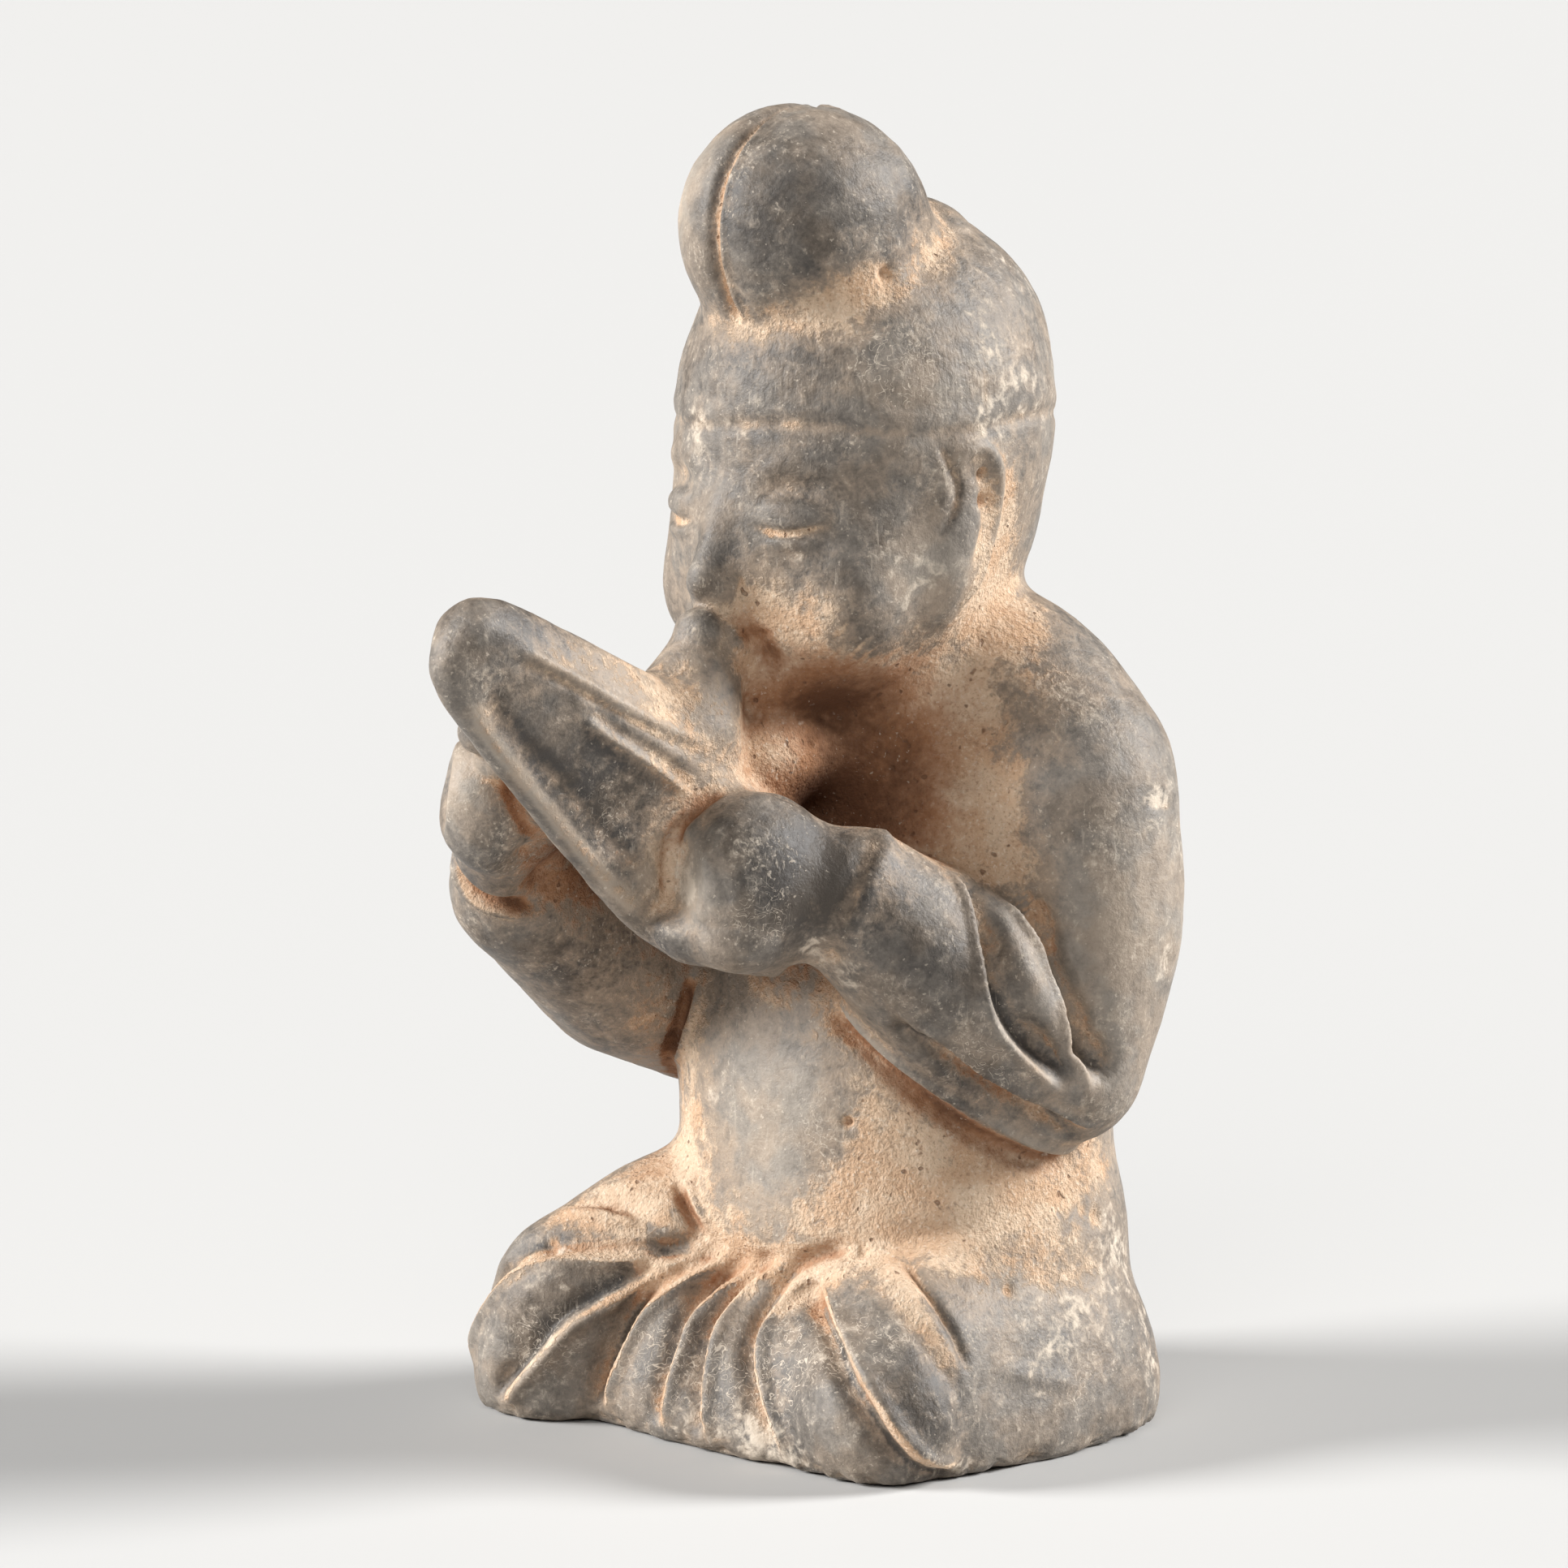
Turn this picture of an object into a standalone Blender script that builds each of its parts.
"""Kneeling musician: one press-moulded figure of grey pottery that blows a mouth organ.

The figure faces -Y and its left hand is towards +X. The forms are laid up as a modeller
lays up clay: rolls, lumps and cones are fused into one skin and their seams melted, and
then the larger carving is pressed in along lines on that skin. Sizes are in millimetres.
"""

import math

import bmesh
import bpy
import numpy as np
from mathutils import Euler, Vector
from mathutils.bvhtree import BVHTree

MM = 0.001

# Heights above the underside.
HEM_TOP = 17
LAP = 29
WAIST = 42
CHEST = 82
SHOULDER = 95.5
CHIN = 108
EYES = 139
NOSE_BASE = 127
HAIRLINE = 154
CROWN = 182.5
TOP = 198

# Plan of the base and the body. The body stands a little behind the middle of the base.
BASE_HALF_WIDTH = 43
BASE_FRONT = 39
BASE_BACK = 37
BODY_Y = 5
BODY_HALF_WIDTH = 33
BODY_HALF_DEPTH = 30

# The head, bowed forward over the mouthpiece.
HEAD_Y = -3
HEAD_HALF_WIDTH = 28
TOPKNOT = (0, -14.6, 179.5)
TOPKNOT_RADIUS = 18.4
TOPKNOT_BOW = -25
LIPS = (0, -34.5, 122)

# Shoulder, upper arm, elbow and wrist of each sleeve. The arms are not quite a pair: the
# left hand is close in, and the right reaches out.
LEFT_ARM = ((30, 12, SHOULDER), (33.5, 11, 77), (33.5, 5.5, 57), (21, -26, 84))
RIGHT_ARM = ((-30, 12, SHOULDER), (-34, 11, 77), (-36, 3, 56), (-29, -45, 82))
LEFT_HAND = (14, -38, 87)
RIGHT_HAND = (-15.5, -61, 98)

# The mouth organ, a leaf of pipes on edge that rises forward from the hands.
INSTRUMENT_TIP = (0, -86.5, 127.5)
INSTRUMENT_HEEL = (0, -20, 79)
INSTRUMENT_HALF_HEIGHT = 17
INSTRUMENT_HALF_WIDTH = 9.5

# Each pleat's angle from the front, at the crease, on the slope and at the hem, in degrees.
SKIRT_PLEATS = (
    (-75, -72, -75), (-50, -56, -60), (-17, -27, -35), (-11, -21, -26), (0, -9, -9),
    (9, -1, 1), (28, 12, 20), (22, 35, 45), (42, 52, 57),
)
# Where the fold over the right knee lies: each place is an angle from the front and a height.
KNEE_FOLD = (-20, 26), (-31, 25), (-37, 20), (-40, 16)

# Facets of the finished solid. The skins are fused on a grid of VOXEL.
VOXEL = 1.2
TRIANGLES = 9300

POTTERY = (0.205, 0.190, 0.172, 1.0)
POTTERY_ROUGHNESS = 0.88


def clear_scene():
    for obj in list(bpy.data.objects):
        bpy.data.objects.remove(obj)


def collection(name, rendered):
    made = bpy.data.collections.new(name)
    made.hide_render = not rendered
    bpy.context.scene.collection.children.link(made)
    return made


def add_object(name, bm, into=None):
    """Moves a bmesh in millimetres into a new object in metres."""
    bmesh.ops.scale(bm, vec=(MM, MM, MM), verts=bm.verts)
    mesh = bpy.data.meshes.new(name)
    bm.to_mesh(mesh)
    bm.free()
    obj = bpy.data.objects.new(name, mesh)
    (into or bpy.context.scene.collection).objects.link(obj)
    return obj


def evaluated_mesh(obj):
    graph = bpy.context.evaluated_depsgraph_get()
    return bpy.data.meshes.new_from_object(obj.evaluated_get(graph))


def pottery():
    """Unglazed low-fired grey clay."""
    made = bpy.data.materials.new("grey_pottery")
    made.use_nodes = True
    surface = made.node_tree.nodes["Principled BSDF"]
    surface.inputs["Base Color"].default_value = POTTERY
    surface.inputs["Roughness"].default_value = POTTERY_ROUGHNESS
    surface.inputs["Metallic"].default_value = 0.0
    return made


def between(start, end, part):
    """The point that lies part of the way from start to end."""
    return tuple(Vector(start).lerp(Vector(end), part))


def lump(centre, radii, tilt=(0, 0, 0)):
    """An ellipsoid of clay. The tilt is in degrees about X, Y and Z."""
    bm = bmesh.new()
    bmesh.ops.create_uvsphere(bm, u_segments=40, v_segments=24, radius=1)
    bmesh.ops.scale(bm, vec=radii, verts=bm.verts)
    turn = Euler([math.radians(angle) for angle in tilt]).to_matrix()
    bmesh.ops.rotate(bm, cent=(0, 0, 0), matrix=turn, verts=bm.verts)
    bmesh.ops.translate(bm, vec=centre, verts=bm.verts)
    return add_object("lump", bm)


def cone(foot, foot_radius, tip, tip_radius):
    """A capped cone from its foot to its tip."""
    along = Vector(tip) - Vector(foot)
    bm = bmesh.new()
    bmesh.ops.create_cone(
        bm, cap_ends=True, segments=32, radius1=foot_radius, radius2=tip_radius, depth=along.length
    )
    turn = along.to_track_quat("Z", "Y").to_matrix()
    bmesh.ops.rotate(bm, cent=(0, 0, 0), matrix=turn, verts=bm.verts)
    bmesh.ops.translate(bm, vec=(Vector(foot) + Vector(tip)) / 2, verts=bm.verts)
    return add_object("cone", bm)


def roll(*stations):
    """A roll of clay with round ends, along one smooth curve through (point, radius) stations."""
    curve = bpy.data.curves.new("roll", "CURVE")
    curve.dimensions = "3D"
    curve.bevel_depth = MM
    curve.bevel_resolution = 6
    curve.use_fill_caps = True
    spline = curve.splines.new("BEZIER")
    spline.bezier_points.add(len(stations) - 1)
    for knot, (point, radius) in zip(spline.bezier_points, stations):
        knot.co = Vector(point) * MM
        knot.radius = radius
        knot.handle_left_type = knot.handle_right_type = "AUTO"
    guide = bpy.data.objects.new("roll", curve)
    bpy.context.scene.collection.objects.link(guide)
    bm = bmesh.new()
    bm.from_mesh(evaluated_mesh(guide))
    bpy.data.objects.remove(guide)
    bmesh.ops.remove_doubles(bm, verts=bm.verts, dist=0.01 * MM)
    bmesh.ops.scale(bm, vec=(1 / MM, 1 / MM, 1 / MM), verts=bm.verts)
    ends = [lump(point, (radius, radius, radius)) for point, radius in (stations[0], stations[-1])]
    return [add_object("roll", bm), *ends]


def outline(z, half_width, front, back, middle_y, squareness, count=48):
    """A level ring whose front and back may differ in depth and squareness. 2 is an ellipse."""
    points = []
    for step in range(count):
        turn = math.tau * step / count
        behind = math.sin(turn) > 0
        depth = back if behind else -front
        power = 2 / squareness[behind]
        across = math.copysign(abs(math.cos(turn)) ** power, math.cos(turn))
        points.append(
            Vector((half_width * across, middle_y + depth * abs(math.sin(turn)) ** power, z))
        )
    return points


def loft(rings):
    """A closed skin over a stack of rings that have the same number of points each."""
    bm = bmesh.new()
    loops = [[bm.verts.new(point) for point in ring] for ring in rings]
    for low, high in zip(loops, loops[1:]):
        for here in range(len(low)):
            after = (here + 1) % len(low)
            bm.faces.new((low[here], low[after], high[after], high[here]))
    bm.faces.new(reversed(loops[0]))
    bm.faces.new(loops[-1])
    bmesh.ops.recalc_face_normals(bm, faces=bm.faces)
    return add_object("loft", bm)


def fuse(pieces, smoothing):
    """Joins overlapping closed pieces into one skin and melts the seams."""
    bm = bmesh.new()
    for piece in pieces:
        bm.from_mesh(piece.data)
        bpy.data.objects.remove(piece)
    bmesh.ops.scale(bm, vec=(1 / MM, 1 / MM, 1 / MM), verts=bm.verts)
    skin = add_object("skin", bm)
    remesh = skin.modifiers.new("one_skin", "REMESH")
    remesh.mode = "VOXEL"
    remesh.voxel_size = VOXEL * MM
    smooth = skin.modifiers.new("melt_seams", "SMOOTH")
    smooth.factor = 0.5
    smooth.iterations = smoothing
    skin.data = evaluated_mesh(skin)
    skin.modifiers.clear()
    return skin


def smooth_line(points, spacing=0.8):
    """Evenly fine points on a Catmull-Rom curve through the given ones."""
    knots = [np.array(point, float) for point in points]
    knots = [2 * knots[0] - knots[1], *knots, 2 * knots[-1] - knots[-2]]
    line = []
    for a, b, c, d in zip(knots, knots[1:], knots[2:], knots[3:]):
        steps = max(2, int(np.linalg.norm(c - b) / spacing))
        for t in np.arange(steps) / steps:
            bend = (2 * a - 5 * b + 4 * c - d) * t**2 + (3 * b - a - 3 * c + d) * t**3
            line.append((2 * b + (c - a) * t + bend) / 2)
    line.append(knots[-2])
    return np.array(line)


def vertex_values(mesh, name):
    values = np.empty(len(mesh.vertices) * 3)
    mesh.vertices.foreach_get(name, values)
    return values.reshape(-1, 3)


def skin_tree(skin):
    points = (vertex_values(skin.data, "co") / MM).tolist()
    return BVHTree.FromPolygons(points, [list(face.vertices) for face in skin.data.polygons])


def wrap(tree, middle_y, places):
    """Points on the skin at (angle, height) places, seen from an upright axis at middle_y.

    Angle 0 is the front, and 90 degrees is the figure's left.
    """
    points = []
    for angle, height in places:
        turn = math.radians(angle)
        outward = Vector((math.sin(turn), -math.cos(turn), 0))
        axis = Vector((0, middle_y, height))
        points.append(tree.ray_cast(axis + outward * 150, -outward)[0])
    return points


def carve(skin, strokes):
    """Presses lines into a skin.

    A stroke is (points near the skin, half width, depth, lean). A negative depth raises a
    ridge. Lean 0 is a plain groove. A positive lean makes a pleat that stands up on the
    right of a line that runs downwards, seen from outside, and a negative one on its left.
    """
    verts = vertex_values(skin.data, "co") / MM
    normals = vertex_values(skin.data, "normal")
    tree = skin_tree(skin)
    moved = verts.copy()
    for points, half_width, depth, lean in strokes:
        found = [tree.find_nearest(point) for point in smooth_line(points)]
        line = np.array([hit[0] for hit in found])
        facing = np.array([hit[1] for hit in found])
        side = np.cross(facing, np.gradient(line, axis=0))
        side /= np.linalg.norm(side, axis=1)[:, None] + 1e-9
        reach = 3 * half_width
        near = np.all((verts > line.min(0) - reach) & (verts < line.max(0) + reach), axis=1)
        near = np.nonzero(near)[0]
        gap = verts[near][:, None, :] - line[None]
        distance = np.linalg.norm(gap, axis=2)
        closest = distance.argmin(1)
        picked = np.arange(len(near)), closest
        away = distance[picked] / half_width
        across = np.einsum("ij,ij->i", gap[picked], side[closest]) / half_width
        progress = closest / (len(line) - 1)
        ends = np.clip(5 * np.minimum(progress, 1 - progress) + 0.2, 0, 1)
        same_side = np.einsum("ij,ij->i", normals[near], facing[closest]) > 0
        press = depth * (1 - lean * across) * np.exp(-(away**2)) * ends * same_side
        moved[near] -= normals[near] * press[:, None]
    skin.data.vertices.foreach_set("co", (moved * MM).ravel())
    skin.data.update()


def skirt_pleats(tree):
    """The skirt's pleats fan out from the crease under the belly to the hem."""
    strokes = [(wrap(tree, BODY_Y, KNEE_FOLD), 1.9, 1.4, 0.8)]
    for crease, slope, hem in SKIRT_PLEATS:
        points = wrap(tree, BODY_Y, ((crease, LAP - 1), (slope, HEM_TOP + 2), (hem, 3)))
        strokes.append((points, 1.9, 1.4, 0.8))
    return strokes


def sleeve_pleats():
    """Three pleats fan forward from each elbow. The right sleeve has the plainer ones."""
    left = (
        ((34, -15, 83), (38, -15, 78), (40, -13, 70), (41, -9, 63), (42, -5, 57)),
        ((38, -5, 78), (42, -4, 71), (43.5, -1, 63), (44.5, 2, 56)),
        ((31, -23, 67), (33, -15, 59), (36, -6, 52.5), (42, 3, 48.5)),
    )
    strokes = [(points, 2.5, 2.4, -0.5) for points in left]
    for points in left[:2]:
        strokes.append(([(-x - 1, y - 3, z - 1) for x, y, z in points], 2.3, 1.4, 0.5))
    return strokes


def topknot_parting():
    """A narrow sunk band over the topknot, from behind its top down to its root in front."""
    x, y, z = TOPKNOT
    points = []
    for step in range(9):
        turn = math.radians(110 - 160 * step / 8)
        points.append((x + 1, y - 19 * math.cos(turn), z + 18 * math.sin(turn)))
    return [(points, 1.5, 1.2, 0)]


def hair_edge(tree):
    """The edge of the hair, a low step all round the head."""
    ring = wrap(tree, HEAD_Y, [(angle, HAIRLINE) for angle in range(-180, 181, 15)])
    return [(ring, 1.8, 0.8, 0)]


def instrument_rim():
    """A groove on each face that sets off the leaf's rounded lower rim."""
    tip = Vector(INSTRUMENT_TIP)
    axis = (Vector(INSTRUMENT_HEEL) - tip).normalized()
    rise = Vector((1, 0, 0)).cross(axis)
    strokes = []
    for side in (-1, 1):
        rim = []
        for along, drop in ((8, 6), (20, 9), (34, 12), (48, 13.5)):
            rim.append(tip + axis * along - rise * drop + Vector((side * 6, 0, 0)))
        strokes.append((rim, 1.5, 0.7, 0))
    return strokes


def body():
    """Torso, neck and the mound of the skirt over the folded legs."""
    skirt = loft([
        outline(z, BASE_HALF_WIDTH - inset, BASE_FRONT - front_inset, BASE_BACK - inset, 0, (3.2, 2.7))
        for z, inset, front_inset in (
            (-4, 1.5, 1.5), (4, 0, 0), (10, 0.5, 1), (HEM_TOP, 2.5, 4), (22, 4.5, 9), (LAP, 8, 17)
        )
    ])
    torso = loft([
        outline(z, half_width, half_depth, half_depth, BODY_Y, (2.15, 2.15))
        for z, half_width, half_depth in (
            (4, 37, 32), (LAP, 36.5, 32), (WAIST, BODY_HALF_WIDTH, BODY_HALF_DEPTH + 0.5),
            (54, 33.5, 31), (68, 33, 28.5), (CHEST, 33, 24), (SHOULDER, 33, 20),
            (105, 28, 17), (114, 18, 15),
        )
    ])
    legs = [
        *roll(((-17, -8, 22.5), 19), ((-24, -19.5, 20), 18.5), ((-31, -30.5, 16), 14.8)),
        *roll(((18, -8, 15), 18), ((24, -18, 14), 17), ((29, -26.5, 9), 13.5)),
        lump((-34.5, -34, 7), (12.5, 12, 16)),
        lump((29, -27, 7), (11.5, 11, 15)),
    ]
    neck = roll(((0, 7, 98), 22), ((0, 4, 112), 20.5), ((0, 2, 128), 20))
    shoulders = []
    for side in (-1, 1):
        slope = ((side * 7, 9, 113), 15.5), ((side * 18, 12.5, 109), 15), ((side * 28.5, 13, 98.5), 15.5)
        shoulders += roll(*slope)
    upper_back = lump((0, 14, 92), (30, 14, 26))
    return fuse([skirt, torso, *legs, *neck, *shoulders, upper_back], smoothing=8)


def head():
    """Skull, the close cap of hair, long-lobed ears and a plain, calm, full-cheeked face."""
    front = HEAD_Y - 29
    pieces = [
        lump((0, HEAD_Y + 1, 151.5), (HEAD_HALF_WIDTH, 29.5, CROWN - 151.5)),
        lump((0, HEAD_Y + 5, 158), (25.5, 25, CROWN - 157.5)),
        lump((0, HEAD_Y - 5, 135), (25, 25, 26)),
        lump((0, HEAD_Y - 9, 124), (20, 20, 124 - CHIN)),
        lump((0, HEAD_Y + 6, 138), (23, 23, 22)),
    ]
    skull = fuse(pieces, smoothing=14)
    features = [
        *roll(((0, front, EYES + 1), 2), ((0, front - 2, 133), 2.6), ((0, front - 4, 129.5), 3.2)),
        lump((LIPS[0], front - 1, LIPS[2]), (6, 3.5, 3.2)),
        lump((0, front + 9, CHIN + 6), (9, 7.5, 6.5)),
    ]
    for side in (-1, 1):
        features += [
            lump((side * 3, front - 1.5, NOSE_BASE + 1.5), (2.2, 3, 2)),
            lump((side * 11.5, front + 13.5, 127), (11, 10, 12)),
            lump((side * 25, HEAD_Y - 3, 137.5), (2.6, 5.5, 10.5), tilt=(-10, 0, side * 10)),
            lump((side * 23, HEAD_Y - 5, 127.5), (2.4, 3.2, 5)),
        ]
    return fuse([skull, *features], smoothing=4)


def topknot():
    x, y, z = TOPKNOT
    ball = lump(TOPKNOT, (TOPKNOT_RADIUS, TOPKNOT_RADIUS + 1, TOP - z), tilt=(TOPKNOT_BOW, 0, 0))
    root = lump((x, y + 8, z - 7), (16.5, 18, 11), tilt=(TOPKNOT_BOW - 10, 0, 0))
    return fuse([ball, root], smoothing=1)


def instrument():
    """The pipes, pressed into one leaf, with a spout up to the lips and clay back to the chest.

    The leaf's section is widest at a ridge above its middle. It thins in one flat face down
    to a rounded rim, and in another up to its back.
    """
    tip = Vector(INSTRUMENT_TIP)
    axis = (Vector(INSTRUMENT_HEEL) - tip).normalized()
    rise = Vector((1, 0, 0)).cross(axis)
    left_half = (
        (-1, 0), (-0.96, 0.3), (-0.84, 0.42), (-0.3, 0.72), (0.3, 1), (0.42, 0.96), (0.9, 0.45), (1, 0)
    )
    section = [*left_half, *((up, -out) for up, out in reversed(left_half[1:-1]))]
    growth = (
        (0, 0), (1.5, 0.33), (6, 0.47), (20, 0.67), (38, 0.88), (54, 1), (68, 0.95), (82, 0.6)
    )
    rings = []
    for along, part in growth:
        half_height = 2 + (INSTRUMENT_HALF_HEIGHT - 2) * part
        half_width = 2 + (INSTRUMENT_HALF_WIDTH - 2) * part**0.7
        centre = tip + axis * along
        rings.append([
            centre + rise * half_height * up + Vector((half_width * out, 0, 0)) for up, out in section
        ])
    spout = cone((0, -40.5, 107), 10, LIPS, 4.8)
    bridge_to_chest = lump((-1, -26, 101), (8, 13, 8))
    return fuse([loft(rings), spout, bridge_to_chest], smoothing=2)


def arm(joints, sleeve_radius, hand, hand_radii, hand_tilt):
    """A sleeve that is full at the shoulder and the elbow, narrow at the cuff, and a fist."""
    shoulder, upper_arm, elbow, wrist = joints
    upper = roll((shoulder, 15.5), (upper_arm, 14.5), (elbow, 12.5))
    fore = roll((elbow, 12.5), (between(elbow, wrist, 0.45), sleeve_radius), (wrist, 11))
    heel_of_hand = roll((wrist, 9), (between(wrist, hand, 0.6), 9))
    return [*upper, *fore, *heel_of_hand, lump(hand, hand_radii, hand_tilt)]


def figure():
    """The whole skin, fused and carved."""
    left_arm = arm(LEFT_ARM, 15, LEFT_HAND, (10, 13, 14), (30, 0, 0))
    right_arm = arm(RIGHT_ARM, 16, RIGHT_HAND, (10, 10.5, 11.5), (20, 0, 0))
    skin = fuse([body(), head(), topknot(), instrument(), *left_arm, *right_arm], smoothing=5)
    tree = skin_tree(skin)
    carve(skin, skirt_pleats(tree) + sleeve_pleats() + topknot_parting() + hair_edge(tree))
    carve(skin, instrument_rim())
    return skin


def floor_cutter(into):
    """A slab whose top is the plane the figure stands on."""
    bm = bmesh.new()
    bmesh.ops.create_cube(bm, size=1)
    bmesh.ops.scale(bm, vec=(300, 300, 20), verts=bm.verts)
    bmesh.ops.translate(bm, vec=(0, 0, -10), verts=bm.verts)
    cutter = add_object("floor_cutter", bm, into)
    cutter.hide_render = True
    cutter.display_type = "WIRE"
    return cutter


def main():
    clear_scene()
    solids = collection("kneeling_musician", rendered=True)
    cutters = collection("cutters", rendered=False)
    skin = figure()
    bpy.context.scene.collection.objects.unlink(skin)
    solids.objects.link(skin)
    skin.name = "kneeling_musician"
    skin.data.materials.append(pottery())
    soften = skin.modifiers.new("soften_carving", "SMOOTH")
    soften.factor = 0.5
    soften.iterations = 3
    facets = skin.modifiers.new("facets", "DECIMATE")
    facets.ratio = TRIANGLES / (2 * len(skin.data.polygons))
    flat = skin.modifiers.new("flat_underside", "BOOLEAN")
    flat.object = floor_cutter(cutters)
    flat.operation = "DIFFERENCE"
    flat.solver = "EXACT"


main()
